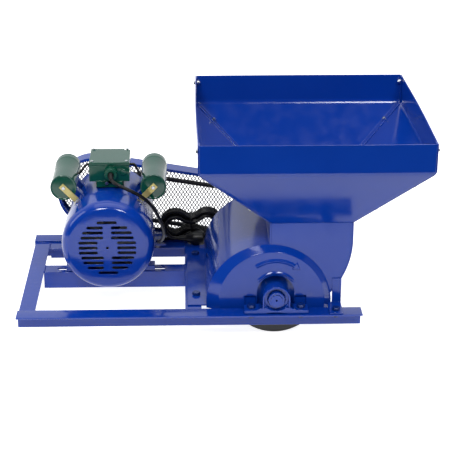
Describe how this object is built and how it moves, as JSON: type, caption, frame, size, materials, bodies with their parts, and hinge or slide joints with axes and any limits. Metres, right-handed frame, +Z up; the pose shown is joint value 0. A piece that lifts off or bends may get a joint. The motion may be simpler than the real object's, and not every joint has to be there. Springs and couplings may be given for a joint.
{
  "type": "grape and fruit crusher",
  "caption": "Belt-driven grape and fruit crusher: a sheet hopper over a bladed rotor and slotted screen, with a capacitor motor on an angle-iron frame that rests across a tub.",
  "frame": {"origin": "middle of the frame, level with the underside of the long rails' outward flanges, which rest on a tub's rim", "axes": "+X along the long rails, from the motor towards the hopper; +Y to the back, where the belt drive is; +Z up. The rotor and motor shafts run along Y."},
  "size_m": [0.891, 0.5575, 0.467],
  "materials": {
    "blue_enamel": "gloss",
    "cast_blue": "gloss",
    "dark_enamel": "gloss",
    "dark_bolts": "gloss",
    "bright_steel": "satin",
    "core_steel": "satin",
    "copper_wire": "satin",
    "belt_rubber": "matte",
    "fan_plastic": "matte",
    "zinc": "satin",
    "yellow_zinc": "satin",
    "green_paint": "gloss",
    "gland_plastic": "satin",
    "capacitor_can": "satin",
    "wire_plastic": "satin",
    "cord_rubber": "satin"
  },
  "bodies": {
    "frame": {"front_rail": "blue_enamel", "rear_rail": "blue_enamel", "left_cross_member": "blue_enamel", "mid_cross_member": "blue_enamel", "front_motor_rail": "blue_enamel", "rear_motor_rail": "blue_enamel", "casing_front_plate": "blue_enamel", "casing_rear_plate": "blue_enamel", "drum_cover": "blue_enamel", "casing_right_wall": "blue_enamel", "lower_screen": "dark_enamel", "half_round_cover": "blue_enamel", "casing_feet": "blue_enamel", "casing_bolts": "dark_bolts", "front_bearing_housing": "cast_blue", "rear_bearing_housing": "cast_blue", "bearing_outer_rings": "bright_steel", "bearing_bolts": "dark_bolts", "drive_belt": "belt_rubber", "guard_rim": "blue_enamel", "guard_mesh": "dark_enamel", "guard_brackets": "blue_enamel", "hopper_front_panel": "blue_enamel", "hopper_rear_panel": "blue_enamel", "hopper_left_panel": "blue_enamel", "hopper_right_panel": "blue_enamel", "hopper_collar": "blue_enamel", "hopper_bolts": "zinc"},
    "motor": {"motor_housing": "cast_blue", "motor_feet": "cast_blue", "drive_end_shield": "cast_blue", "fan_end_shield": "cast_blue", "stator_core": "core_steel", "stator_windings": "copper_wire", "motor_bearings": "bright_steel", "fan_cowl": "blue_enamel", "motor_screws": "yellow_zinc", "motor_bolts": "zinc", "terminal_box": "green_paint", "terminal_lid": "green_paint", "cable_gland": "gland_plastic", "left_capacitor_cover": "green_paint", "right_capacitor_cover": "green_paint", "capacitor_lids": "green_paint", "capacitors": "capacitor_can", "capacitor_straps": "yellow_zinc", "capacitor_leads": "wire_plastic", "power_cord": "cord_rubber", "cord_hank": "cord_rubber", "power_plug": "cord_rubber"},
    "motor_rotor": {"motor_shaft": "bright_steel", "rotor_core": "core_steel", "cooling_fan": "fan_plastic", "motor_pulley": "dark_enamel"},
    "mill_rotor": {"bearing_inner_rings": "bright_steel", "main_shaft": "bright_steel", "rotor_hub": "bright_steel", "rotor_discs": "dark_enamel", "beater_bars": "bright_steel", "mill_pulley": "dark_enamel"}
  },
  "joints": [
    {"name": "mill_spin", "type": "hinge", "parent": "frame", "child": "mill_rotor", "pos_m": [0.188, 0, 0.037], "axis": [0, 1, 0], "continuous": true},
    {"name": "motor_slide", "type": "slide", "parent": "frame", "child": "motor", "axis": [1, 0, 0], "range_m": [-0.015, 0.02], "deforming": ["drive_belt"]},
    {"name": "motor_spin", "type": "hinge", "parent": "motor", "child": "motor_rotor", "pos_m": [-0.182, 0, 0.1], "axis": [0, 1, 0], "continuous": true}
  ],
  "couplings": [
    {"joint": "motor_spin", "follows": "mill_spin", "ratio": 1}
  ]
}
